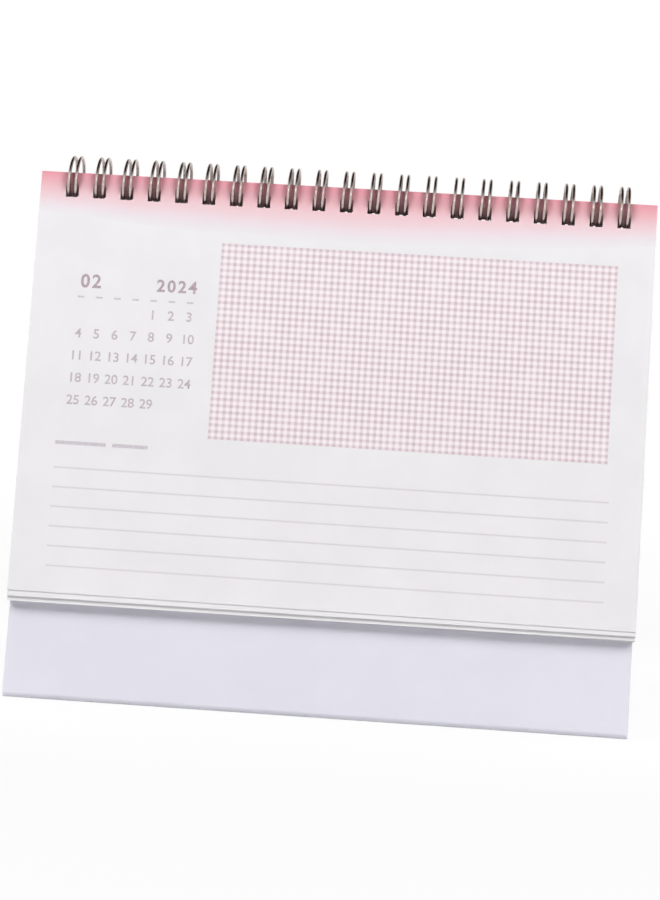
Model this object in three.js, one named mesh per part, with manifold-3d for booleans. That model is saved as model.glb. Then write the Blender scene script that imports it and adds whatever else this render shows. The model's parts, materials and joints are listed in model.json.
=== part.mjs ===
import * as THREE from 'three';
import { mergeGeometries, mergeVertices } from 'three/addons/utils/BufferGeometryUtils.js';
import Module from 'manifold-3d';

// A wire-bound desk calendar on a folded card stand.
// Millimetres. +X runs along the wire, +Y to the back and +Z up; the origin is on the desk,
// under the middle of the wire. The ring axis is the line along X at the wire's centre.

// Stand: one card folded into a base and two leaning panels
const panelHeight = 160.5;
const panelLean = THREE.MathUtils.degToRad(14);
const cardThickness = 1.6;
const foldRadius = 0.9;
const creaseWidth = 1.2;
const creaseDepth = 0.5;
const panelHalfGap = 0.65;
const panelEdgeToHole = 3.5;

// Leaves: paper hung on the wire in front of the stand, as many as the rings take, and turned over
// behind it
const leafWidth = 189;
const leafOverhang = 0.5;
const leafHeight = 130;
const leafPaper = 0.28;
const turnedLeaves = 2;
const stackRoom = 0.3;
const leafEdgeToHole = 3.7;
const leafOverlap = 0.01;
const restGap = 0.23;

// Punching: one row of square holes, three to the inch, as many as the leaf's width takes
const holePitch = 25.4 / 3;
const holeWidth = 4;
const holeHeight = 4;
const sideMargin = 7;

// Twin-loop wire
const wireDiameter = 1;
const ringDiameter = 14.3;
const prongGap = 2.2;
const spineCornerRadius = 1.2;
const tipClearance = 0.25;
const wireClearance = 0.15;
const spineEnd = 1.6;
const wireSides = 6;
const ringSteps = 12;
const tipSteps = 4;
const cornerSteps = 2;

const foldSteps = 5;

const colours = {
  card: '#e2e1eb',
  paper: '#ecebee',
  wire: '#7a5a55',
};

// Sizes that follow
const standWidth = leafWidth - 2 * leafOverhang;
const holeCount = Math.floor((leafWidth - 2 * sideMargin - holeWidth) / holePitch) + 1;
const ringRadius = (ringDiameter - wireDiameter) / 2;
const ringInside = ringRadius - wireDiameter / 2;
const ringOutside = ringDiameter / 2;
const panelOuter = panelHalfGap + cardThickness;
const leafBack = panelOuter + restGap;
const hangingLeaves = Math.floor((ringInside - wireClearance - stackRoom - leafBack) / leafPaper);

// Heights along a panel or leaf are counted upwards from the foot of the ring axis on it
const panelHoleBottom = -Math.sqrt((ringOutside + wireClearance) ** 2 - panelHalfGap ** 2);
const panelTop = panelHoleBottom + holeHeight + panelEdgeToHole;
const panelFoot = panelTop - panelHeight;
const leafHoleTop = (faceOffset) => -Math.sqrt((ringInside - wireClearance) ** 2 - faceOffset ** 2);

const ringHeight = -panelFoot * Math.cos(panelLean) - panelOuter * Math.sin(panelLean);

const holeCentres = [];
for (let k = 0; k < holeCount; k += 1) {
  holeCentres.push((k - (holeCount - 1) / 2) * holePitch);
}

// Closed meshes as manifold solids, and back
const manifoldLibrary = await Module();
manifoldLibrary.setup();

function toSolid(geometry) {
  const bare = geometry.clone();
  bare.deleteAttribute('normal');
  bare.deleteAttribute('uv');
  const merged = mergeVertices(bare, 1e-5);
  const mesh = new manifoldLibrary.Mesh({
    numProp: 3,
    vertProperties: Float32Array.from(merged.attributes.position.array),
    triVerts: Uint32Array.from(merged.index.array),
  });
  return new manifoldLibrary.Manifold(mesh);
}

function toGeometry(solid) {
  const mesh = solid.getMesh();
  const geometry = new THREE.BufferGeometry();
  geometry.setAttribute('position', new THREE.BufferAttribute(Float32Array.from(mesh.vertProperties), 3));
  geometry.setIndex(new THREE.BufferAttribute(Uint32Array.from(mesh.triVerts), 1));
  geometry.computeVertexNormals();
  return geometry;
}

// A point of the front panel's section as (depth, height): offset is how far it lies in front
// of the ring axis, square to the panel, and rise is its height along the panel.
function frontPoint(offset, rise) {
  return new THREE.Vector2(
    -offset * Math.cos(panelLean) + rise * Math.sin(panelLean),
    ringHeight + offset * Math.sin(panelLean) + rise * Math.cos(panelLean),
  );
}

const mirrored = (point) => new THREE.Vector2(-point.x, point.y);

// An outline's corner turned into an arc between its two sides
function roundCorner(before, corner, after, radius, steps) {
  const toBefore = before.clone().sub(corner).normalize();
  const toAfter = after.clone().sub(corner).normalize();
  const half = Math.acos(toBefore.dot(toAfter)) / 2;
  const middle = toBefore.clone().add(toAfter).normalize();
  const centre = corner.clone().addScaledVector(middle, radius / Math.sin(half));
  const start = corner.clone().addScaledVector(toBefore, radius / Math.tan(half)).sub(centre);
  const turn = Math.PI - 2 * half;
  const sign = Math.sign(toBefore.cross(toAfter));
  const arc = [];
  for (let i = 0; i <= steps; i += 1) {
    const angle = -sign * turn * i / steps;
    arc.push(start.clone().rotateAround(new THREE.Vector2(), angle).add(centre));
  }
  return arc;
}

// The section of the folded card, from the front panel's top round the base to the back
// panel's top and back along the inside
function cardSection() {
  const outerFold = frontPoint(panelOuter, panelFoot);
  const innerSlope = Math.tan(panelLean);
  const innerTop = frontPoint(panelHalfGap, panelTop);
  const innerFold = new THREE.Vector2(
    innerTop.x - (innerTop.y - cardThickness) * innerSlope,
    cardThickness,
  );
  const outerTop = frontPoint(panelOuter, panelTop);
  const outerRadius = foldRadius + cardThickness;
  const outerArc = roundCorner(outerTop, outerFold, mirrored(outerFold), outerRadius, foldSteps);
  const innerArc = roundCorner(innerTop, innerFold, mirrored(innerFold), foldRadius, foldSteps);
  const crease = [
    new THREE.Vector2(creaseWidth / 2, cardThickness),
    new THREE.Vector2(0, cardThickness - creaseDepth),
    new THREE.Vector2(-creaseWidth / 2, cardThickness),
  ];
  const outline = [
    outerTop,
    ...outerArc,
    ...outerArc.map(mirrored).reverse(),
    mirrored(outerTop),
    mirrored(innerTop),
    ...innerArc.map(mirrored),
    ...crease,
    ...innerArc.slice().reverse(),
    innerTop,
  ];
  return new THREE.Shape(outline);
}

// Section planes (depth, height) extruded along X and centred on it
const alongX = new THREE.Matrix4().makeBasis(
  new THREE.Vector3(0, 1, 0),
  new THREE.Vector3(0, 0, 1),
  new THREE.Vector3(1, 0, 0),
);

// A frame that leans with a panel: local x along the wire, y up the panel, z straight out of it.
// side is 1 in front of the stand and -1 behind it.
function panelFrame(side) {
  const out = new THREE.Vector3(0, -side * Math.cos(panelLean), Math.sin(panelLean));
  const up = new THREE.Vector3(0, side * Math.sin(panelLean), Math.cos(panelLean));
  const along = new THREE.Vector3().crossVectors(up, out);
  const frame = new THREE.Matrix4().makeBasis(along, up, out);
  return frame.setPosition(0, 0, ringHeight);
}

function placeInPanelFrame(mesh, side) {
  mesh.applyMatrix4(panelFrame(side));
  return mesh;
}

// The row of square punches, in a panel's own frame, from one distance out to another
function punchRow(bottom, from, to) {
  const punches = holeCentres.map((x) => {
    const punch = new THREE.BoxGeometry(holeWidth, holeHeight, to - from);
    return punch.translate(x, bottom + holeHeight / 2, (from + to) / 2);
  });
  return mergeGeometries(punches);
}

function buildStand() {
  const card = new THREE.ExtrudeGeometry(cardSection(), { depth: standWidth, bevelEnabled: false });
  card.translate(0, 0, -standWidth / 2);
  card.applyMatrix4(alongX);
  const past = panelHalfGap / 2;
  let stand = toSolid(card);
  for (const side of [1, -1]) {
    const punches = punchRow(panelHoleBottom, panelHalfGap - past, panelOuter + past);
    stand = stand.subtract(toSolid(punches.applyMatrix4(panelFrame(side))));
  }
  return toGeometry(stand);
}

// One leaf, hung by the upper edges of its holes: the further its face lies from the panel,
// the higher round the ring it hangs. A leaf reaches a hair into the one behind it.
function buildLeaf(index) {
  const back = leafBack + index * leafPaper - (index > 0 ? leafOverlap : 0);
  const face = leafBack + (index + 1) * leafPaper;
  const holeTop = leafHoleTop(face);
  const sheet = new THREE.BoxGeometry(leafWidth, leafHeight, face - back);
  sheet.translate(0, holeTop + leafEdgeToHole - leafHeight / 2, (back + face) / 2);
  const punches = punchRow(holeTop - holeHeight, back - leafPaper, face + leafPaper);
  return toSolid(sheet).subtract(toSolid(punches));
}

function buildLeaves(count) {
  let leaves = buildLeaf(0);
  for (let i = 1; i < count; i += 1) {
    leaves = leaves.add(buildLeaf(i));
  }
  return toGeometry(leaves);
}

// The wire's path. Along the ring it is measured by the angle from the bottom, forwards and
// up over the top; each prong leaves the spine at the root angle and its tip comes round to
// nest between the roots of the same prong.
const tipRadius = prongGap / 2;
const nestDistance = tipRadius + spineCornerRadius + wireDiameter + tipClearance;
const nestSide = tipRadius + spineCornerRadius;
const nestLength = Math.sqrt(nestDistance ** 2 - nestSide ** 2);
const rootAngle = nestLength / 2 / ringRadius;
const tipAngle = 2 * Math.PI - rootAngle;
const stepAngle = (tipAngle - rootAngle) / ringSteps;
const pathRadius = ringRadius * 2 / (1 + Math.cos(stepAngle / 2));

function onRing(x, angle) {
  return new THREE.Vector3(
    x,
    -pathRadius * Math.sin(angle),
    ringHeight - pathRadius * Math.cos(angle),
  );
}

// The path as a list of flat positions (x, angle), in the order in which the wire is bent
function wireRoute() {
  const route = [];
  const spineAngle = rootAngle - spineCornerRadius / ringRadius;
  route.push([holeCentres[0] - tipRadius - spineCornerRadius - spineEnd, spineAngle]);
  for (const x of holeCentres) {
    for (let i = 0; i <= cornerSteps; i += 1) {
      const turn = (Math.PI / 2) * i / cornerSteps;
      const across = spineCornerRadius * (1 - Math.sin(turn));
      const along = spineCornerRadius * (1 - Math.cos(turn));
      route.push([x - tipRadius - across, spineAngle + along / ringRadius]);
    }
    for (let i = 1; i < ringSteps; i += 1) {
      route.push([x - tipRadius, rootAngle + i * stepAngle]);
    }
    for (let i = 0; i <= tipSteps; i += 1) {
      const turn = Math.PI * i / tipSteps;
      const along = tipRadius * Math.sin(turn);
      route.push([x - tipRadius * Math.cos(turn), tipAngle + along / ringRadius]);
    }
    for (let i = ringSteps - 1; i > 0; i -= 1) {
      route.push([x + tipRadius, rootAngle + i * stepAngle]);
    }
    for (let i = cornerSteps; i >= 0; i -= 1) {
      const turn = (Math.PI / 2) * i / cornerSteps;
      const across = spineCornerRadius * (1 - Math.sin(turn));
      const along = spineCornerRadius * (1 - Math.cos(turn));
      route.push([x + tipRadius + across, spineAngle + along / ringRadius]);
    }
  }
  route.push([holeCentres.at(-1) + tipRadius + spineCornerRadius + spineEnd, spineAngle]);
  return route;
}

// A curve that an extrusion samples at exactly its bends, with tangents shared between them
class BentWire extends THREE.Curve {
  constructor(points) {
    super();
    this.points = points;
  }

  getPoint(t, target = new THREE.Vector3()) {
    const place = t * (this.points.length - 1);
    const i = Math.min(Math.floor(place + 1e-6), this.points.length - 2);
    return target.copy(this.points[i]).lerp(this.points[i + 1], THREE.MathUtils.clamp(place - i, 0, 1));
  }

  getTangent(t, target = new THREE.Vector3()) {
    const i = Math.round(t * (this.points.length - 1));
    const here = this.points[i];
    const before = this.points[Math.max(i - 1, 0)];
    const after = this.points[Math.min(i + 1, this.points.length - 1)];
    target.set(0, 0, 0);
    if (i > 0) {
      target.add(here.clone().sub(before).normalize());
    }
    if (i < this.points.length - 1) {
      target.add(after.clone().sub(here).normalize());
    }
    return target.normalize();
  }

  getUtoTmapping(u) {
    return u;
  }
}

function wireSection() {
  const corners = [];
  for (let i = 0; i < wireSides; i += 1) {
    const angle = 2 * Math.PI * i / wireSides;
    corners.push(new THREE.Vector2(Math.cos(angle), Math.sin(angle)).multiplyScalar(wireDiameter / 2));
  }
  return new THREE.Shape(corners);
}

function buildWire() {
  const points = wireRoute().map(([x, angle]) => onRing(x, angle));
  const wire = new THREE.ExtrudeGeometry(wireSection(), {
    steps: points.length - 1,
    extrudePath: new BentWire(points),
    bevelEnabled: false,
  });
  return toGeometry(toSolid(wire));
}

function namedMesh(name, geometry, colour, roughness, metalness) {
  const material = new THREE.MeshStandardMaterial({ color: colour, roughness, metalness });
  const mesh = new THREE.Mesh(geometry, material);
  mesh.name = name;
  return mesh;
}

const calendar = new THREE.Group();
calendar.name = 'desk_calendar';
calendar.add(namedMesh('stand', buildStand(), colours.card, 0.8, 0));

const leafBlock = namedMesh('leaf_block', buildLeaves(hangingLeaves), colours.paper, 0.85, 0);
calendar.add(placeInPanelFrame(leafBlock, 1));

const turned = namedMesh('turned_leaves', buildLeaves(turnedLeaves), colours.paper, 0.85, 0);
calendar.add(placeInPanelFrame(turned, -1));

calendar.add(namedMesh('twin_loop_wire', buildWire(), colours.wire, 0.35, 0.8));

export default calendar;
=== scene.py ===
import json
import math
import random

import bmesh
import bpy
from mathutils import Matrix, Vector


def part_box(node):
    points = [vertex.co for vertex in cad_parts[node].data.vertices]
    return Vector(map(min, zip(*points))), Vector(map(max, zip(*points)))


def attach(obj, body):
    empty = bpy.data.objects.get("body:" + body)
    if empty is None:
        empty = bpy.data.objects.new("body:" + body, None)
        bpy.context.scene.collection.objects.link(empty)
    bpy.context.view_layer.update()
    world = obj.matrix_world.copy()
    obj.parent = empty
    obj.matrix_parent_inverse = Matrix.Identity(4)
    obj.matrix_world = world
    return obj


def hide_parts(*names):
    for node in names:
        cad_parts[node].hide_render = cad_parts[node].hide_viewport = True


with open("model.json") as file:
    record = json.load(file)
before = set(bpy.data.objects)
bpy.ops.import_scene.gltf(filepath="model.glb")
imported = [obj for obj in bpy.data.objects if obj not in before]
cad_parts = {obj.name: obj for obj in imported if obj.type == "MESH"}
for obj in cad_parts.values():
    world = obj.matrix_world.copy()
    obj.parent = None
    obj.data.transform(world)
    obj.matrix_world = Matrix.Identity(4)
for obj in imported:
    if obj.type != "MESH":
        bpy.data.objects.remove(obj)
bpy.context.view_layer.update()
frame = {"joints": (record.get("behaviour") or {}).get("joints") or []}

MM = 0.001

# Places taken from the frame
RING_CENTRE = Vector(frame["joints"][0]["pos_m"])
LEAF_LOW, LEAF_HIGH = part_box("leaf_block")
STAND_LOW, STAND_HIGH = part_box("stand")
LEAF_WIDTH = LEAF_HIGH.x - LEAF_LOW.x
STAND_WIDTH = STAND_HIGH.x - STAND_LOW.x

# Driving sizes, as on the real object, in metres
LEAN = math.radians(14)
CARD = 1.6 * MM
FOLD_RADIUS = 0.1 * MM
PANEL_HALF_GAP = 0.65 * MM
PANEL_HEIGHT = 160.5 * MM
PANEL_EDGE_TO_HOLE = 3.5 * MM
CREASE_WIDTH = 1.2 * MM
CREASE_DEPTH = 0.4 * MM
LEAF_HEIGHT = 130 * MM
LEAF_PITCH = 0.28 * MM
LEAF_PAPER = 0.22 * MM
FRONT_PAPER = 0.13 * MM
LEAF_REST = 0.23 * MM
HANGING_LEAVES = 11
TURNED_LEAVES = 2
LAST_MONTH = 12
LEAF_EDGE_TO_HOLE = 3.7 * MM
HOLE_PITCH = 25.4 / 3 * MM
HOLE_COUNT = 21
HOLE_WIDTH = 4 * MM
HOLE_HEIGHT = 4 * MM
WIRE = 1 * MM
RING_DIAMETER = 14.3 * MM
PRONG_GAP = 2.2 * MM
SPINE_CORNER = 1.2 * MM
TIP_CLEARANCE = 0.25 * MM
WIRE_CLEARANCE = 0.15 * MM
SPINE_END = 1.6 * MM

# Sizes that follow
RING_RADIUS = (RING_DIAMETER - WIRE) / 2
RING_INSIDE = RING_RADIUS - WIRE / 2
PANEL_OUTER = PANEL_HALF_GAP + CARD
PANEL_HOLE_BOTTOM = -math.sqrt((RING_DIAMETER / 2 + WIRE_CLEARANCE) ** 2 - PANEL_HALF_GAP**2)
PANEL_TOP = PANEL_HOLE_BOTTOM + HOLE_HEIGHT + PANEL_EDGE_TO_HOLE
HOLE_CENTRES = [(k - (HOLE_COUNT - 1) / 2) * HOLE_PITCH for k in range(HOLE_COUNT)]

STAND_BODY = "stand_body"
LEAVES_BODY = "leaves_body"


def leaf_hole_top(face):
    """Height of the hole edge by which a leaf hangs on the wire, for its face's distance out."""
    return -math.sqrt((RING_INSIDE - WIRE_CLEARANCE) ** 2 - face**2)


def panel_point(side, x, offset, rise):
    """A point by its distance out from the ring axis and its height along a leaning panel."""
    depth = offset * math.cos(LEAN) - rise * math.sin(LEAN)
    height = offset * math.sin(LEAN) + rise * math.cos(LEAN)
    return Vector((x, -side * depth, RING_CENTRE.z + height))


def smoothstep(t):
    t = min(max(t, 0.0), 1.0)
    return t * t * (3 - 2 * t)


def steps_between(start, end, count):
    return [start + (end - start) * i / count for i in range(1, count)]


# Materials

NOISE_ROUGHNESS = 0.55


def tone(red, green, blue):
    """A screen colour of 0 to 255 as the linear colour that a shader takes."""
    linear = []
    for value in (red, green, blue):
        c = value / 255
        linear.append(c / 12.92 if c <= 0.04045 else ((c + 0.055) / 1.055) ** 2.4)
    return (*linear, 1.0)


class Nodes:
    """Short calls for building one material's node tree."""

    def __init__(self, name):
        self.material = bpy.data.materials.new(name)
        self.material.use_nodes = True
        self.tree = self.material.node_tree
        self.tree.nodes.clear()

    def add(self, kind, **values):
        node = self.tree.nodes.new(kind)
        for key, value in values.items():
            setattr(node, key, value)
        return node

    def link(self, output, target):
        self.tree.links.new(output, target)

    def feed(self, socket, value):
        if isinstance(value, bpy.types.NodeSocket):
            self.link(value, socket)
        else:
            socket.default_value = value

    def math(self, operation, a, b=0.0, c=0.0, clamp=False):
        node = self.add("ShaderNodeMath", operation=operation, use_clamp=clamp)
        for socket, value in zip(node.inputs, (a, b, c)):
            self.feed(socket, value)
        return node.outputs[0]

    def noise(self, scale, detail=4.0, stretch=(1, 1, 1)):
        """Soft noise fixed to the object, scale being its patches to the metre."""
        place = self.add("ShaderNodeTexCoord")
        mapping = self.add("ShaderNodeMapping")
        mapping.inputs["Scale"].default_value = stretch
        self.link(place.outputs["Object"], mapping.inputs["Vector"])
        texture = self.add("ShaderNodeTexNoise")
        texture.inputs["Scale"].default_value = scale
        texture.inputs["Detail"].default_value = detail
        texture.inputs["Roughness"].default_value = NOISE_ROUGHNESS
        self.link(mapping.outputs["Vector"], texture.inputs["Vector"])
        return texture.outputs["Fac"]

    def mix(self, factor, a, b):
        """Colour a where factor is 0 and colour b where it is 1."""
        node = self.add("ShaderNodeMix", data_type="RGBA")
        self.feed(node.inputs[0], factor)
        self.feed(node.inputs[6], a)
        self.feed(node.inputs[7], b)
        return node.outputs[2]

    def between(self, value, low, high):
        """value's place between low and high, as 0 to 1."""
        node = self.add("ShaderNodeMapRange", interpolation_type="SMOOTHSTEP")
        for socket, number in zip(node.inputs, (value, low, high, 0.0, 1.0)):
            self.feed(socket, number)
        return node.outputs[0]

    def ramp(self, value, stops):
        node = self.add("ShaderNodeValToRGB")
        elements = node.color_ramp.elements
        while len(elements) < len(stops):
            elements.new(0.5)
        for element, (position, colour) in zip(elements, stops):
            element.position = position
            element.color = colour
        self.feed(node.inputs[0], value)
        return node.outputs[0]

    def crevice(self, reach, closed, opened):
        """A mask for painted shade: 1 in narrow gaps, where little open space is seen within
        reach, and 0 in the open.
        """
        node = self.add("ShaderNodeAmbientOcclusion", samples=2)
        node.inputs["Distance"].default_value = reach
        return self.math("SUBTRACT", 1.0, self.between(node.outputs["AO"], closed, opened))

    def bump(self, height, strength, distance):
        node = self.add("ShaderNodeBump")
        node.inputs["Strength"].default_value = strength
        node.inputs["Distance"].default_value = distance
        self.link(height, node.inputs["Height"])
        return node.outputs[0]

    def surface(self, colour, roughness, metallic=0.0, specular=0.5, normal=None):
        shader = self.add("ShaderNodeBsdfPrincipled")
        self.feed(shader.inputs["Base Color"], colour)
        self.feed(shader.inputs["Roughness"], roughness)
        shader.inputs["Metallic"].default_value = metallic
        shader.inputs["Specular IOR Level"].default_value = specular
        if normal is not None:
            self.link(normal, shader.inputs["Normal"])
        output = self.add("ShaderNodeOutputMaterial")
        self.link(shader.outputs[0], output.inputs["Surface"])
        return self.material


PAPER_WHITE = tone(241, 239, 241)
PAPER_SHADE = tone(238, 236, 238)
PAPER_ROUGHNESS = 0.82
PAPER_SPECULAR = 0.3
FIBRE_SHARE = 0.7


def paper_ground(nodes):
    """Uncoated paper: the colour's faint clouds, and the fibres' relief."""
    clouds = nodes.noise(scale=60.0, detail=5.0)
    colour = nodes.mix(nodes.between(clouds, 0.35, 0.65), PAPER_SHADE, PAPER_WHITE)
    fibres = nodes.math(
        "MULTIPLY", nodes.noise(scale=2600.0, detail=3.0, stretch=(0.35, 1, 1)), FIBRE_SHARE
    )
    flecks = nodes.math("MULTIPLY", nodes.noise(scale=7000.0, detail=2.0), 1 - FIBRE_SHARE)
    return colour, nodes.bump(nodes.math("ADD", fibres, flecks), 0.25, 0.04 * MM)


def plain_paper():
    nodes = Nodes("leaf_paper")
    colour, normal = paper_ground(nodes)
    return nodes.surface(colour, PAPER_ROUGHNESS, specular=PAPER_SPECULAR, normal=normal)


# Print on the month leaf, in millimetres from its left and upper edges. The fade is FADE_DEPTH
# deep in the middle and FADE_SHORTER less at the sides, and its edge drifts by FADE_DRIFT.
FADE_DEPTH, FADE_SHORTER, FADE_DRIFT = 17.5, 4.8, 1.5
FADE_STOPS = (
    (0.0, (236, 160, 172)),
    (0.14, (238, 172, 182)),
    (0.30, (240, 190, 197)),
    (0.42, (241, 202, 208)),
    (0.58, (241, 213, 219)),
    (0.74, (240, 225, 231)),
    (0.90, (238, 233, 237)),
    (1.0, (240, 238, 240)),
)
GRID_LEFT, GRID_TOP = 57.6, 19.9
GRID_CELL = 2.0
GRID_COLUMNS, GRID_ROWS = 60, 30
GRID_LINE = 0.8
GRID_GROUND = tone(251, 243, 246)
GRID_PINK = tone(236, 220, 225)
GRID_CROSSING = tone(210, 194, 200)
LEAST_INK = 0.65
RULE_LEFT, RULE_RIGHT = 11.0, 179.0
RULE_FIRST, RULE_STEP, RULE_COUNT = 91.9, 6.0, 6
RULE_LINE = 0.28
RULE_GREY = tone(216, 210, 216)
RULE_INK = 0.85
LINE_SOFTNESS = 0.3

# The narrow gaps in the holes are near black in the photograph
# Painted shade: within HOLE_ZONE mm of the upper edge, the leaf faces are mixed towards dark
# maroon where little open space is near. This darkens the gaps at the holes and, a little, the
# paper beside the wire.
HOLE_ZONE = 10.0
HOLE_SHADE_SHARE = 0.85
HOLE_PAINTED_SHADE = tone(104, 22, 38)


def printed_paper():
    """The month leaf's face: a pink fade under the upper edge, a fine grid and ruled lines, and
    painted shade in the narrow gaps at the holes.
    """
    nodes = Nodes("leaf_paper_printed")
    colour, normal = paper_ground(nodes)
    page = nodes.add("ShaderNodeUVMap", uv_map="page")
    split = nodes.add("ShaderNodeSeparateXYZ")
    nodes.link(page.outputs[0], split.inputs[0])
    across = nodes.math("MULTIPLY", split.outputs[0], LEAF_WIDTH / MM)
    down = nodes.math("MULTIPLY_ADD", split.outputs[1], -LEAF_HEIGHT / MM, LEAF_HEIGHT / MM)

    waver = nodes.noise(scale=45.0, detail=3.0)
    drift = nodes.math("MULTIPLY_ADD", waver, 2 * FADE_DRIFT, -FADE_DRIFT)
    off_middle = nodes.math("MULTIPLY_ADD", split.outputs[0], 2.0, -1.0)
    shorter = nodes.math("MULTIPLY", nodes.math("MULTIPLY", off_middle, off_middle), -FADE_SHORTER)
    depth = nodes.math("ADD", shorter, FADE_DEPTH)
    faded = nodes.math("DIVIDE", nodes.math("ADD", down, drift), depth, clamp=True)
    fade = nodes.ramp(faded, [(place, tone(*rgb)) for place, rgb in FADE_STOPS])
    colour = nodes.mix(nodes.math("GREATER_THAN", faded, 0.995), fade, colour)

    def stripes(value, start, step, width):
        """1 on lines of that width, a step apart, counted from start."""
        phase = nodes.math("DIVIDE", nodes.math("SUBTRACT", value, start), step)
        off = nodes.math("ABSOLUTE", nodes.math("SUBTRACT", phase, nodes.math("ROUND", phase)))
        away = nodes.math("MULTIPLY", off, step)
        fading = nodes.between(away, (width - LINE_SOFTNESS) / 2, width / 2 + LINE_SOFTNESS)
        return nodes.math("SUBTRACT", 1.0, fading)

    def within(value, low, high):
        above = nodes.math("GREATER_THAN", value, low)
        below = nodes.math("LESS_THAN", value, high)
        return nodes.math("MULTIPLY", above, below)

    def both(a, b):
        return nodes.math("MULTIPLY", a, b)

    edge = GRID_LINE / 2
    grid_right = GRID_LEFT + GRID_CELL * GRID_COLUMNS
    grid_bottom = GRID_TOP + GRID_CELL * GRID_ROWS
    in_grid = both(
        within(across, GRID_LEFT - edge, grid_right + edge),
        within(down, GRID_TOP - edge, grid_bottom + edge),
    )
    uprights = stripes(across, GRID_LEFT, GRID_CELL, GRID_LINE)
    levels = stripes(down, GRID_TOP, GRID_CELL, GRID_LINE)
    worn = nodes.between(nodes.noise(scale=180.0, detail=4.0), 0.25, 0.6)
    ink = nodes.math("MULTIPLY_ADD", worn, 1 - LEAST_INK, LEAST_INK)
    lines = both(nodes.math("MAXIMUM", uprights, levels), ink)
    crossings = both(both(uprights, levels), ink)
    colour = nodes.mix(in_grid, colour, GRID_GROUND)
    colour = nodes.mix(both(lines, in_grid), colour, GRID_PINK)
    colour = nodes.mix(both(crossings, in_grid), colour, GRID_CROSSING)

    last_rule = RULE_FIRST + RULE_STEP * (RULE_COUNT - 1)
    in_rules = both(
        within(across, RULE_LEFT, RULE_RIGHT),
        within(down, RULE_FIRST - RULE_STEP / 2, last_rule + RULE_STEP / 2),
    )
    rules = both(stripes(down, RULE_FIRST, RULE_STEP, RULE_LINE), in_rules)
    colour = nodes.mix(both(rules, RULE_INK), colour, RULE_GREY)
    # Painted shade in the narrow gaps at the holes, near the upper edge
    painted_hole_shade = both(nodes.crevice(3 * MM, 0.25, 0.85), nodes.math("LESS_THAN", down, HOLE_ZONE))
    colour = nodes.mix(both(painted_hole_shade, HOLE_SHADE_SHARE), colour, HOLE_PAINTED_SHADE)
    return nodes.surface(colour, PAPER_ROUGHNESS, specular=PAPER_SPECULAR, normal=normal)


CARD_SHADE = tone(226, 225, 235)
CARD_LIGHT = tone(229, 228, 238)
CARD_RUBBED = tone(240, 239, 243)
# Painted shade inside the stand: narrow gaps darken from the first of these heights up to the
# second
APEX_SHADE_FROM, APEX_SHADE_FULL = 110 * MM, 135 * MM
APEX_SHADE_SHARE = 0.95
APEX_PAINTED_SHADE = tone(34, 14, 18)


def stand_card():
    """Smooth pale lavender card, a little worn and paler where it is folded, with painted shade in
    the narrow gaps high inside the stand.
    """
    nodes = Nodes("stand_card")
    clouds = nodes.noise(scale=38.0, detail=6.0)
    ground = nodes.mix(nodes.between(clouds, 0.3, 0.7), CARD_SHADE, CARD_LIGHT)
    geometry = nodes.add("ShaderNodeNewGeometry")
    rubbed = nodes.between(geometry.outputs["Pointiness"], 0.53, 0.62)
    speckle = nodes.between(nodes.noise(scale=900.0, detail=3.0), 0.45, 0.6)
    colour = nodes.mix(nodes.math("MULTIPLY", rubbed, speckle), ground, CARD_RUBBED)
    place = nodes.add("ShaderNodeTexCoord")
    split = nodes.add("ShaderNodeSeparateXYZ")
    nodes.link(place.outputs["Object"], split.inputs[0])
    # Painted shade: narrow gaps high inside the stand are mixed towards near black
    high_up = nodes.between(split.outputs[2], APEX_SHADE_FROM, APEX_SHADE_FULL)
    near_apex = nodes.math("MULTIPLY", high_up, APEX_SHADE_SHARE)
    painted_apex_shade = nodes.math("MULTIPLY", nodes.crevice(9 * MM, 0.12, 0.5), near_apex)
    colour = nodes.mix(painted_apex_shade, colour, APEX_PAINTED_SHADE)
    fibres = nodes.noise(scale=1500.0, detail=4.0, stretch=(0.4, 1, 1))
    return nodes.surface(colour, 0.7, specular=0.35, normal=nodes.bump(fibres, 0.22, 0.05 * MM))


WIRE_SHADE = tone(190, 174, 168)
WIRE_LIGHT = tone(210, 196, 190)
WIRE_PAINTED_SHADE = tone(56, 30, 34)
WIRE_LEAST_ROUGH, WIRE_ROUGH_RANGE = 0.16, 0.12


def wire_coating():
    """Pale, faintly rosy metal with a clear gloss, with painted shade where wire lies close to
    paper or card.
    """
    nodes = Nodes("wire_coating")
    drawn = nodes.noise(scale=700.0, detail=4.0)
    colour = nodes.mix(nodes.between(drawn, 0.35, 0.65), WIRE_SHADE, WIRE_LIGHT)
    # Painted shade where the wire lies close to paper or card, as in the holes
    colour = nodes.mix(nodes.crevice(1.6 * MM, 0.3, 0.85), colour, WIRE_PAINTED_SHADE)
    dulled = nodes.noise(scale=1400.0)
    rough = nodes.math("MULTIPLY_ADD", dulled, WIRE_ROUGH_RANGE, WIRE_LEAST_ROUGH)
    relief = nodes.noise(scale=3000.0, detail=2.0)
    return nodes.surface(colour, rough, metallic=1.0, normal=nodes.bump(relief, 0.05, 0.02 * MM))


def printing_ink(name, dark, light):
    """Matt ink that takes unevenly on the paper, between two tones."""
    nodes = Nodes(name)
    spread = nodes.between(nodes.noise(scale=1200.0, detail=4.0), 0.35, 0.65)
    return nodes.surface(nodes.mix(spread, tone(*dark), tone(*light)), 0.8, specular=0.2)


# Meshes


def new_object(name, mesh, materials):
    for material in materials:
        mesh.materials.append(material)
    piece = bpy.data.objects.new(name, mesh)
    bpy.context.scene.collection.objects.link(piece)
    return piece


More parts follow.
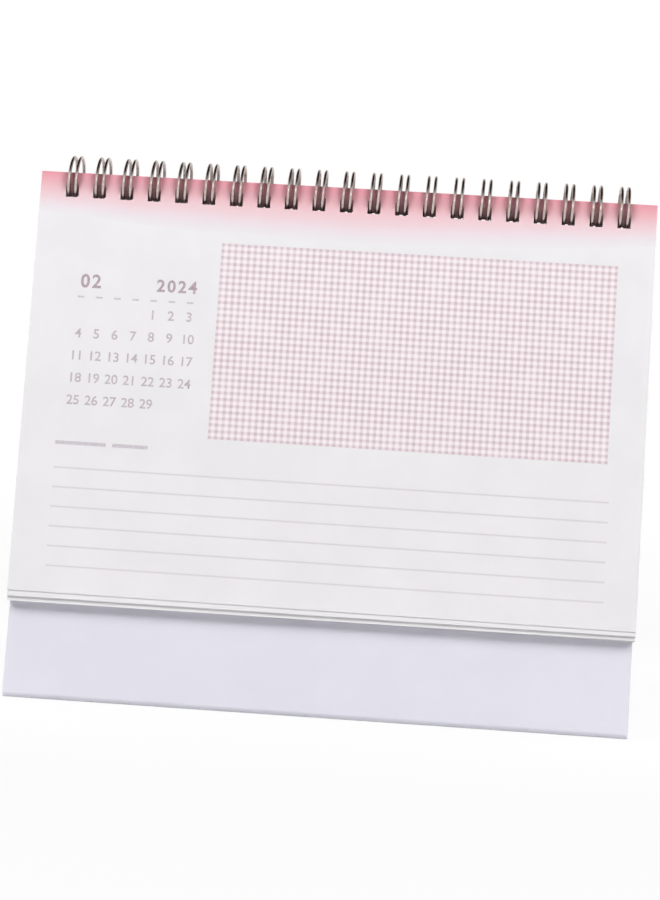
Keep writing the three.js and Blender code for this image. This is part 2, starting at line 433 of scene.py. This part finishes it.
def punched_sheet(name, across, along, holes, place, page=None, face_slot=0):
    """A closed sheet on a grid of lines, with whole cells left out as holes.

    place(x, v, w) gives a point, with w 0 on the face and 1 on the back. page(x, v) gives the
    face's print coordinates, and face_slot the material slot of its face.
    """
    mesh = bpy.data.meshes.new(name)
    bm = bmesh.new()
    prints = bm.loops.layers.uv.new("page") if page else None
    corners = {}

    def corner(i, j, w):
        if (i, j, w) not in corners:
            corners[i, j, w] = bm.verts.new(place(across[i], along[j], w))
        return corners[i, j, w]

    def solid(i, j):
        inside = 0 <= i < len(across) - 1 and 0 <= j < len(along) - 1
        return inside and (i, j) not in holes

    def wall(a, b):
        bm.faces.new((corner(*a, 0), corner(*b, 0), corner(*b, 1), corner(*a, 1)))

    for i in range(len(across) - 1):
        for j in range(len(along) - 1):
            if not solid(i, j):
                continue
            ring = [(i, j), (i, j + 1), (i + 1, j + 1), (i + 1, j)]
            face = bm.faces.new([corner(a, b, 0) for a, b in ring])
            face.material_index = face_slot
            if page:
                for loop, (a, b) in zip(face.loops, ring):
                    loop[prints].uv = page(across[a], along[b])
            bm.faces.new([corner(a, b, 1) for a, b in reversed(ring)])
            beyond = [(i - 1, j), (i, j + 1), (i + 1, j), (i, j - 1)]
            for side, (a, b) in enumerate(beyond):
                if not solid(a, b):
                    wall(ring[(side + 1) % 4], ring[side])
    bmesh.ops.recalc_face_normals(bm, faces=bm.faces)
    bm.to_mesh(mesh)
    bm.free()
    return mesh


SIDE_STRIP = 3 * MM


def hole_columns(width):
    """The grid's lines across: a strip at either side, and both sides of every hole."""
    lines = [-width / 2, -width / 2 + SIDE_STRIP]
    for x in HOLE_CENTRES:
        lines += [x - HOLE_WIDTH / 2, x + HOLE_WIDTH / 2]
    return lines + [width / 2 - SIDE_STRIP, width / 2]


def hole_cells(across, row):
    """The grid cells of one row that are holes."""
    cells = set()
    for i in range(len(across) - 1):
        middle = (across[i] + across[i + 1]) / 2
        if any(abs(middle - x) < HOLE_WIDTH / 4 for x in HOLE_CENTRES):
            cells.add((i, row))
    return cells


# Leaves

# The hanging leaves' lower edges lie in three groups. Each group has its first leaf, counted from
# the stand, and how far its edges lie below the place that the front leaf's holes would give; the
# front leaf's own edge is above that. Each sheet is stretched or shortened to reach its place.
GROUPS = ((0, 2.3 * MM), (8, 0.85 * MM), (10, -0.7 * MM))
GROUP_SCATTER = 0.09 * MM
# How much less the stretch is for each millimetre to the right of the middle, as a share of it
GROUP_CONVERGE = 0.0022
# The sheets are cut a hair narrower than the solid's, which leaves room for their slip
LEAF_TRIM = 0.9994
LEAF_SLIP = 0.05 * MM
# The free part of a leaf, which curls, starts at this share of its height
CURL_START = 0.35
CURL_WAVES = 2.1
LEAF_STEPS = 22


class Leaf:
    """One leaf on a side of the stand: where its paper lies, with its own slight curl."""

    def __init__(self, side, index, total):
        self.side = side
        self.back = PANEL_OUTER + LEAF_REST + index * LEAF_PITCH
        chance = random.Random(100 * (side + 2) + index)
        self.top = leaf_hole_top(self.back + LEAF_PITCH) + LEAF_EDGE_TO_HOLE
        self.drop = 0.0
        self.paper = LEAF_PAPER
        if total == HANGING_LEAVES:
            front_face = PANEL_OUTER + LEAF_REST + HANGING_LEAVES * LEAF_PITCH
            front_top = leaf_hole_top(front_face) + LEAF_EDGE_TO_HOLE
            group = max(start for start, _ in GROUPS if start <= index)
            self.drop = dict(GROUPS)[group] - (front_top - self.top)
            if index == total - 1:
                self.paper = FRONT_PAPER
            if group < index or group == 0:
                self.drop -= chance.uniform(0.0, GROUP_SCATTER)
        self.wave = chance.uniform(0.01, 0.03) * MM
        self.phase = chance.uniform(0, 2 * math.pi)
        self.slip = chance.uniform(-LEAF_SLIP, LEAF_SLIP)

    def curl(self, x, down):
        """How far the paper stands off its flat place, growing towards its free lower edge."""
        free = smoothstep((down / LEAF_HEIGHT - CURL_START) / (1 - CURL_START))
        turns = self.phase + 2 * math.pi * CURL_WAVES * x / LEAF_WIDTH
        return free * self.wave * (1 + math.sin(turns))

    def place(self, x, down, w, lift=0.0):
        """The point x from the middle and down from the upper edge, w from face to back."""
        offset = self.back + self.paper * (1 - w) + self.curl(x, down) + lift
        free = smoothstep(down / LEAF_HEIGHT)
        rise = self.top - down - free * self.drop * (1 - x * GROUP_CONVERGE / MM)
        return panel_point(self.side, x * LEAF_TRIM + self.slip * free, offset, rise)


def leaf_rows():
    rows = [0.0, LEAF_EDGE_TO_HOLE, LEAF_EDGE_TO_HOLE + HOLE_HEIGHT]
    return rows + steps_between(rows[-1], LEAF_HEIGHT, LEAF_STEPS) + [LEAF_HEIGHT]


def build_leaf(leaf, name, body, node, materials, face_slot):
    """One sheet as an object, with the material of its face at face_slot."""
    across = hole_columns(LEAF_WIDTH)
    rows = leaf_rows()
    mesh = punched_sheet(
        name,
        across,
        rows,
        hole_cells(across, 1),
        leaf.place,
        page=lambda x, down: (0.5 + x / LEAF_WIDTH, 1 - down / LEAF_HEIGHT),
        face_slot=face_slot,
    )
    piece = new_object(name, mesh, materials)
    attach(piece, body)
    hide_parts(node)


def build_leaves(materials):
    """The hanging leaves, back to front, and those turned over behind. Returns the front one."""
    for i in range(HANGING_LEAVES):
        leaf = Leaf(1, i, HANGING_LEAVES)
        name = f"month_leaf_{LAST_MONTH - i:02d}"
        build_leaf(leaf, name, LEAVES_BODY, "leaf_block", materials, 1)
    for i in range(TURNED_LEAVES):
        turned = Leaf(-1, i, TURNED_LEAVES)
        build_leaf(turned, f"turned_leaf_{i + 1}", STAND_BODY, "turned_leaves", materials, 0)
    return leaf


# Stand

PANEL_STEPS, FOLD_STEPS, BASE_STEPS = 16, 10, 6


def stand_profile():
    """Stations round the folded card's outside: (point, inward direction)."""
    front = []
    outer_radius = FOLD_RADIUS + CARD
    foot = panel_point(1, 0, PANEL_OUTER, PANEL_TOP - PANEL_HEIGHT)
    centre = Vector((0, foot.y + outer_radius / math.tan((math.pi / 2 - LEAN) / 2), outer_radius))
    inward = Vector((0, math.cos(LEAN), -math.sin(LEAN)))
    fold_start = centre - inward * outer_radius
    rise_at_fold = (fold_start.z - panel_point(1, 0, PANEL_OUTER, 0).z) / math.cos(LEAN)
    rises = [PANEL_TOP, PANEL_TOP - PANEL_EDGE_TO_HOLE, PANEL_HOLE_BOTTOM]
    rises += steps_between(rises[-1], rise_at_fold, PANEL_STEPS) + [rise_at_fold]
    for rise in rises:
        front.append((panel_point(1, 0, PANEL_OUTER, rise), inward))
    turn = math.pi / 2 + LEAN
    for i in range(1, FOLD_STEPS + 1):
        spin = Matrix.Rotation(turn * i / FOLD_STEPS, 3, "X")
        direction = spin @ inward
        front.append((centre - direction * outer_radius, direction))
    crease = CREASE_WIDTH / 2
    for y in steps_between(centre.y, -crease, BASE_STEPS) + [-crease]:
        front.append((Vector((0, y, 0)), Vector((0, 0, 1))))
    middle = (Vector((0, 0, 0)), Vector((0, 0, 1 - CREASE_DEPTH / CARD)))
    rear = [(Vector((0, -p.y, p.z)), Vector((0, -n.y, n.z))) for p, n in reversed(front)]
    return front + [middle] + rear


def build_stand(material):
    stations = stand_profile()
    across = hole_columns(STAND_WIDTH)
    last = len(stations) - 2
    holes = hole_cells(across, 1) | hole_cells(across, last - 1)

    def place(x, station, w):
        point, inward = stations[station]
        return Vector((x, 0, 0)) + point + inward * CARD * w

    mesh = punched_sheet("folded_card", across, list(range(len(stations))), holes, place)
    piece = new_object("folded_card", mesh, [material])
    bevel = piece.modifiers.new("worn_edges", "BEVEL")
    bevel.width = 0.16 * MM
    bevel.segments = 2
    bevel.limit_method = "ANGLE"
    bevel.angle_limit = math.radians(50)
    for face in mesh.polygons:
        face.use_smooth = True
    mesh.set_sharp_from_angle(angle=math.radians(35))
    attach(piece, STAND_BODY)
    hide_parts("stand")


# Wire

TIP_RADIUS = PRONG_GAP / 2
NEST_DISTANCE = TIP_RADIUS + SPINE_CORNER + WIRE + TIP_CLEARANCE
NEST_SIDE = TIP_RADIUS + SPINE_CORNER
ROOT_ANGLE = math.sqrt(NEST_DISTANCE**2 - NEST_SIDE**2) / 2 / RING_RADIUS
TIP_ANGLE = 2 * math.pi - ROOT_ANGLE
SPINE_ANGLE = ROOT_ANGLE - SPINE_CORNER / RING_RADIUS


def wire_route():
    """The wire's bends in order, as (x, angle round the ring from its bottom, forwards)."""
    arc, tip, corner = 40, 10, 6
    route = [(HOLE_CENTRES[0] - NEST_SIDE - SPINE_END, SPINE_ANGLE)]
    quarter = []
    for i in range(corner + 1):
        turn = math.pi / 2 * i / corner
        quarter.append((SPINE_CORNER * (1 - math.sin(turn)), SPINE_CORNER * (1 - math.cos(turn))))
    for x in HOLE_CENTRES:
        rise = [ROOT_ANGLE + (TIP_ANGLE - ROOT_ANGLE) * i / arc for i in range(1, arc)]
        for out, along in quarter:
            route.append((x - TIP_RADIUS - out, SPINE_ANGLE + along / RING_RADIUS))
        route += [(x - TIP_RADIUS, angle) for angle in rise]
        for i in range(tip + 1):
            turn = math.pi * i / tip
            along = TIP_RADIUS * math.sin(turn)
            route.append((x - TIP_RADIUS * math.cos(turn), TIP_ANGLE + along / RING_RADIUS))
        route += [(x + TIP_RADIUS, angle) for angle in reversed(rise)]
        for out, along in reversed(quarter):
            route.append((x + TIP_RADIUS + out, SPINE_ANGLE + along / RING_RADIUS))
    route.append((HOLE_CENTRES[-1] + NEST_SIDE + SPINE_END, SPINE_ANGLE))
    return route


# How far a loop's top leans to the right of its foot, at some loops counted from the left: no
# further than the holes' play allows, both hanging and turned
LEANS = ((0, 0.76 * MM), (14, 0.72 * MM), (20, 0.25 * MM))
# The loops right of the middle also turn about the upright, the last one by this, in radians
LAST_TWIST = 0.02
# How far a loop's top stands above a round ring's
RING_STRETCH = 0.7 * MM
LOOP_SCATTER = 0.02 * MM


def lean_of(loop):
    """A loop's lean, in proportion between those given in LEANS."""
    for (first, lean), (last, next_lean) in zip(LEANS, LEANS[1:]):
        if loop <= last:
            return lean + (next_lean - lean) * (loop - first) / (last - first)


def build_wire(material):
    chance = random.Random(7)
    leans = [lean_of(k) + chance.uniform(-LOOP_SCATTER, LOOP_SCATTER) for k in range(HOLE_COUNT)]
    pinches = [chance.uniform(-LOOP_SCATTER, LOOP_SCATTER) for _ in HOLE_CENTRES]
    points = []
    for x, angle in wire_route():
        nearest = min(range(HOLE_COUNT), key=lambda k: abs(HOLE_CENTRES[k] - x))
        over = (1 - math.cos(angle)) / 2
        off = x - HOLE_CENTRES[nearest]
        y = -RING_RADIUS * math.sin(angle)
        x += (over - 0.5) * leans[nearest]
        x += over * pinches[nearest] * math.copysign(1, off)
        x += y * LAST_TWIST * smoothstep(2 * nearest / (HOLE_COUNT - 1) - 1)
        z = RING_CENTRE.z - RING_RADIUS * math.cos(angle) + RING_STRETCH * over**2
        points.append(Vector((x, y, z)))
    curve = bpy.data.curves.new("twin_loop_binding", "CURVE")
    curve.dimensions = "3D"
    curve.bevel_depth = WIRE / 2
    curve.bevel_resolution = 3
    curve.use_fill_caps = True
    spline = curve.splines.new("POLY")
    spline.points.add(len(points) - 1)
    for target, point in zip(spline.points, points):
        target.co = (*point, 1.0)
    piece = new_object("twin_loop_binding", curve, [material])
    spline.use_smooth = True
    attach(piece, STAND_BODY)
    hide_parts("twin_loop_wire")


# Numerals printed on the front leaf, and plain bars in the place of its words

INK_LIFT = 0.012 * MM
WEEK, DAYS, FIRST_COLUMN = 7, 29, 4
DAY_SIZE = 4.1 * MM
DAY_BOLDER = 0.05 * MM
DAY_LEFT, DAY_STEP = 15.2 * MM, 5.6 * MM
DAY_FIRST_ROW, DAY_ROW_STEP = 44.5 * MM, 6.92 * MM
HEADING_BOLDER = 0.13 * MM
HEADING_BASELINE = 35.65 * MM
MONTH_LEFT, MONTH_SIZE, MONTH_SPACING = 14.7 * MM, 5.8 * MM, 1.2
YEAR_RIGHT, YEAR_SIZE, YEAR_SPACING = 50.6 * MM, 5.2 * MM, 1.26
BAR_STEP = 2 * MM
WEEKDAY_ROW, WEEKDAY_BAR, WEEKDAY_HEIGHT = 38.7 * MM, 2.0 * MM, 0.55 * MM
TITLE_ROW, TITLE_HEIGHT = 84.2 * MM, 1.1 * MM
TITLE_BARS = ((10.9 * MM, 26.4 * MM), (28.4 * MM, 39.2 * MM))


def text_mesh(words, size, bolder, spacing=1.0, align="CENTER"):
    """Numerals as a flat mesh, bolder being how far their outline is moved out."""
    curve = bpy.data.curves.new("numeral", "FONT")
    curve.body = words
    curve.size = size
    curve.offset = bolder
    curve.space_character = spacing
    curve.align_x = align
    curve.resolution_u = 4
    holder = bpy.data.objects.new("numeral", curve)
    mesh = bpy.data.meshes.new_from_object(holder)
    bpy.data.objects.remove(holder)
    return mesh


def bar_mesh(width, height):
    """A plain bar, in short lengths so that it follows the leaf's curl."""
    count = max(1, round(width / BAR_STEP))
    points = []
    for i in range(count + 1):
        x = width * (i / count - 0.5)
        points += [(x, -height / 2, 0), (x, height / 2, 0)]
    faces = [(2 * i, 2 * i + 2, 2 * i + 3, 2 * i + 1) for i in range(count)]
    mesh = bpy.data.meshes.new("bar")
    mesh.from_pydata(points, [], faces)
    return mesh


def print_on_leaf(leaf, name, marks, material):
    """marks: (mesh, across, down), with its place from the leaf's left and upper edges."""
    bm = bmesh.new()
    for mesh, across, down in marks:
        for vertex in mesh.vertices:
            x = across - LEAF_WIDTH / 2 + vertex.co.x
            vertex.co = leaf.place(x, down - vertex.co.y, 0, lift=INK_LIFT)
        bm.from_mesh(mesh)
        bpy.data.meshes.remove(mesh)
    joined = bpy.data.meshes.new(name)
    bmesh.ops.triangulate(bm, faces=bm.faces)
    bm.to_mesh(joined)
    bm.free()
    piece = new_object(name, joined, [material])
    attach(piece, LEAVES_BODY)


def day_marks():
    """The month's plain day numbers, seven to a row, the first in the fifth column."""
    marks = []
    for day in range(1, DAYS + 1):
        place = day - 1 + FIRST_COLUMN
        across = DAY_LEFT + DAY_STEP * (place % WEEK)
        down = DAY_FIRST_ROW + DAY_ROW_STEP * (place // WEEK)
        marks.append((text_mesh(str(day), DAY_SIZE, DAY_BOLDER), across, down))
    return marks


def heading_marks():
    """The month's number at the left and the year at the right of the day numbers' heading."""
    month = text_mesh("02", MONTH_SIZE, HEADING_BOLDER, MONTH_SPACING, "LEFT")
    year = text_mesh("2024", YEAR_SIZE, HEADING_BOLDER, YEAR_SPACING, "RIGHT")
    return [(month, MONTH_LEFT, HEADING_BASELINE), (year, YEAR_RIGHT, HEADING_BASELINE)]


def word_marks():
    """Plain bars where the real leaf has words: over the seven columns, and over the lines."""
    marks = []
    for i in range(WEEK):
        bar = bar_mesh(WEEKDAY_BAR, WEEKDAY_HEIGHT)
        marks.append((bar, DAY_LEFT + DAY_STEP * i, WEEKDAY_ROW))
    for left, right in TITLE_BARS:
        marks.append((bar_mesh(right - left, TITLE_HEIGHT), (left + right) / 2, TITLE_ROW))
    return marks


# Stage, light and camera

FLOOR_HALF = 4.0
# The floor throws more light near the stand's foot than further in front or behind
FLOOR_NEAR = (0.7, 0.7, 0.7, 1)
FLOOR_FAR = (0.4, 0.4, 0.4, 1)
FOOT_REACH = (45 * MM, 110 * MM)
# Its own share of white, least under the calendar and whole further out
GLOW_LEAST = 0.92
GLOW_REACH = (0.12, 0.42)
# What reflections find overhead, above these heights of the sky
CEILING = 0.02
CEILING_FROM, CEILING_FULL = 0.45, 0.75


def build_floor():
    """A plain white floor that takes the calendar's shadow."""
    mesh = bpy.data.meshes.new("floor")
    half = FLOOR_HALF
    corners = [(-half, -half, 0), (half, -half, 0), (half, half, 0), (-half, half, 0)]
    mesh.from_pydata(corners, [], [(0, 1, 2, 3)])
    nodes = Nodes("floor_white")
    matt = nodes.add("ShaderNodeBsdfDiffuse")
    glow = nodes.add("ShaderNodeEmission")
    glow.inputs["Color"].default_value = (1, 1, 1, 1)
    rays = nodes.add("ShaderNodeLightPath")
    place = nodes.add("ShaderNodeTexCoord")
    reach = nodes.add("ShaderNodeVectorMath", operation="LENGTH")
    nodes.link(place.outputs["Object"], reach.inputs[0])
    split = nodes.add("ShaderNodeSeparateXYZ")
    nodes.link(place.outputs["Object"], split.inputs[0])
    off_foot = nodes.between(nodes.math("ABSOLUTE", split.outputs[1]), *FOOT_REACH)
    nodes.feed(matt.inputs["Color"], nodes.mix(off_foot, FLOOR_NEAR, FLOOR_FAR))
    away = nodes.between(reach.outputs["Value"], *GLOW_REACH)
    share = nodes.math("MULTIPLY_ADD", away, 1 - GLOW_LEAST, GLOW_LEAST)
    seen = nodes.math("MAXIMUM", rays.outputs["Is Camera Ray"], rays.outputs["Is Glossy Ray"])
    seen = nodes.math("MAXIMUM", seen, rays.outputs["Is Transmission Ray"])
    mixed = nodes.add("ShaderNodeMixShader")
    nodes.link(nodes.math("MULTIPLY", share, seen), mixed.inputs[0])
    nodes.link(matt.outputs[0], mixed.inputs[1])
    nodes.link(glow.outputs[0], mixed.inputs[2])
    output = nodes.add("ShaderNodeOutputMaterial")
    nodes.link(mixed.outputs[0], output.inputs["Surface"])
    floor = new_object("floor", mesh, [nodes.material])


def build_world(strength):
    """An even soft light, white to the camera and in reflections, which find it dim overhead."""
    world = bpy.data.worlds.new("studio")
    bpy.context.scene.world = world
    world.use_nodes = True
    tree = world.node_tree
    tree.nodes.clear()

    def add(kind, **values):
        node = tree.nodes.new(kind)
        for key, value in values.items():
            setattr(node, key, value)
        return node

    link = tree.links.new
    soft = add("ShaderNodeBackground")
    white = add("ShaderNodeBackground")
    mirrored = add("ShaderNodeBackground")
    for light in (soft, white, mirrored):
        light.inputs["Color"].default_value = (1, 1, 1, 1)
    soft.inputs["Strength"].default_value = strength
    place = add("ShaderNodeTexCoord")
    split = add("ShaderNodeSeparateXYZ")
    height = add("ShaderNodeMapRange", interpolation_type="SMOOTHSTEP")
    limits = (CEILING_FROM, CEILING_FULL, 1.0, CEILING)
    for socket, value in zip(list(height.inputs)[1:5], limits):
        socket.default_value = value
    link(place.outputs["Generated"], split.inputs[0])
    link(split.outputs["Z"], height.inputs[0])
    link(height.outputs[0], mirrored.inputs["Strength"])
    rays = add("ShaderNodeLightPath")
    shiny = add("ShaderNodeMath", operation="MAXIMUM")
    link(rays.outputs["Is Glossy Ray"], shiny.inputs[0])
    link(rays.outputs["Is Transmission Ray"], shiny.inputs[1])
    reflected = add("ShaderNodeMixShader")
    link(shiny.outputs[0], reflected.inputs[0])
    link(soft.outputs[0], reflected.inputs[1])
    link(mirrored.outputs[0], reflected.inputs[2])
    mixed = add("ShaderNodeMixShader")
    link(rays.outputs["Is Camera Ray"], mixed.inputs[0])
    link(reflected.outputs[0], mixed.inputs[1])
    link(white.outputs[0], mixed.inputs[2])
    output = add("ShaderNodeOutputWorld")
    link(mixed.outputs[0], output.inputs["Surface"])


LAMP_TARGET = Vector((0, 0, 0.09))
SOFTBOX = (0.51, 0.51)
FRONT_POWER, BACK_POWER, FILL_POWER = 8.6, 5.5, 1.5
WORLD_STRENGTH = 0.042


def soft_lamp(name, place, size, power, mirrored=False):
    """A rectangular lamp aimed at the calendar, seen in reflections only where mirrored."""
    light = bpy.data.lights.new(name, "AREA")
    light.shape = "RECTANGLE"
    light.size, light.size_y = size
    light.energy = power
    lamp = bpy.data.objects.new(name, light)
    lamp.location = place
    lamp.visible_glossy = mirrored
    lamp.rotation_euler = (LAMP_TARGET - Vector(place)).to_track_quat("-Z", "Y").to_euler()
    bpy.context.scene.collection.objects.link(lamp)


# The photograph's camera: its lens over the picture's long side, its place in millimetres and
# its turn in degrees
PICTURE_HEIGHT = 900
FOCAL_PIXELS = 1994
SENSOR = 36.0
CAMERA_PLACE = (28.7, -619.9, 164.1)
CAMERA_YAW, CAMERA_PITCH, CAMERA_ROLL = -2.76, -8.10, 3.21


def build_camera():
    yaw, pitch, roll = (math.radians(a) for a in (CAMERA_YAW, CAMERA_PITCH, CAMERA_ROLL))
    ahead = Vector((math.sin(yaw), math.cos(yaw), 0)) * math.cos(pitch)
    ahead.z = math.sin(pitch)
    level = Vector((math.cos(yaw), -math.sin(yaw), 0))
    upright = level.cross(ahead)
    right = level * math.cos(roll) + upright * math.sin(roll)
    up = upright * math.cos(roll) - level * math.sin(roll)
    data = bpy.data.cameras.new("photo_camera")
    data.sensor_width = SENSOR
    data.lens = FOCAL_PIXELS * SENSOR / PICTURE_HEIGHT
    camera = bpy.data.objects.new("photo_camera", data)
    turn = Matrix((right, up, -ahead)).transposed().to_4x4()
    camera.matrix_world = Matrix.Translation(Vector(CAMERA_PLACE) * MM) @ turn
    bpy.context.scene.collection.objects.link(camera)
    bpy.context.scene.camera = camera


build_camera()
build_floor()
build_world(WORLD_STRENGTH)
soft_lamp("left_softbox", (-0.675, -0.405, 0.887), SOFTBOX, FRONT_POWER)
soft_lamp("right_softbox", (0.675, -0.405, 0.887), SOFTBOX, FRONT_POWER)
soft_lamp("back_left_softbox", (-0.675, 0.405, 0.887), SOFTBOX, BACK_POWER)
soft_lamp("back_right_softbox", (0.675, 0.405, 0.887), SOFTBOX, BACK_POWER)
soft_lamp("front_fill", (0.0, -1.4, 0.45), (0.4, 0.3), FILL_POWER, mirrored=True)

front_leaf = build_leaves([plain_paper(), printed_paper()])
build_stand(stand_card())
build_wire(wire_coating())
day_ink = printing_ink("day_ink", (192, 180, 188), (208, 197, 203))
heading_ink = printing_ink("heading_ink", (174, 154, 164), (192, 174, 183))
word_ink = printing_ink("word_ink", (204, 198, 204), (214, 208, 214))
print_on_leaf(front_leaf, "day_numerals", day_marks(), day_ink)
print_on_leaf(front_leaf, "heading_numerals", heading_marks(), heading_ink)
print_on_leaf(front_leaf, "word_bars", word_marks(), word_ink)

bpy.context.scene.view_settings.view_transform = "Standard"

bpy.context.view_layer.update()
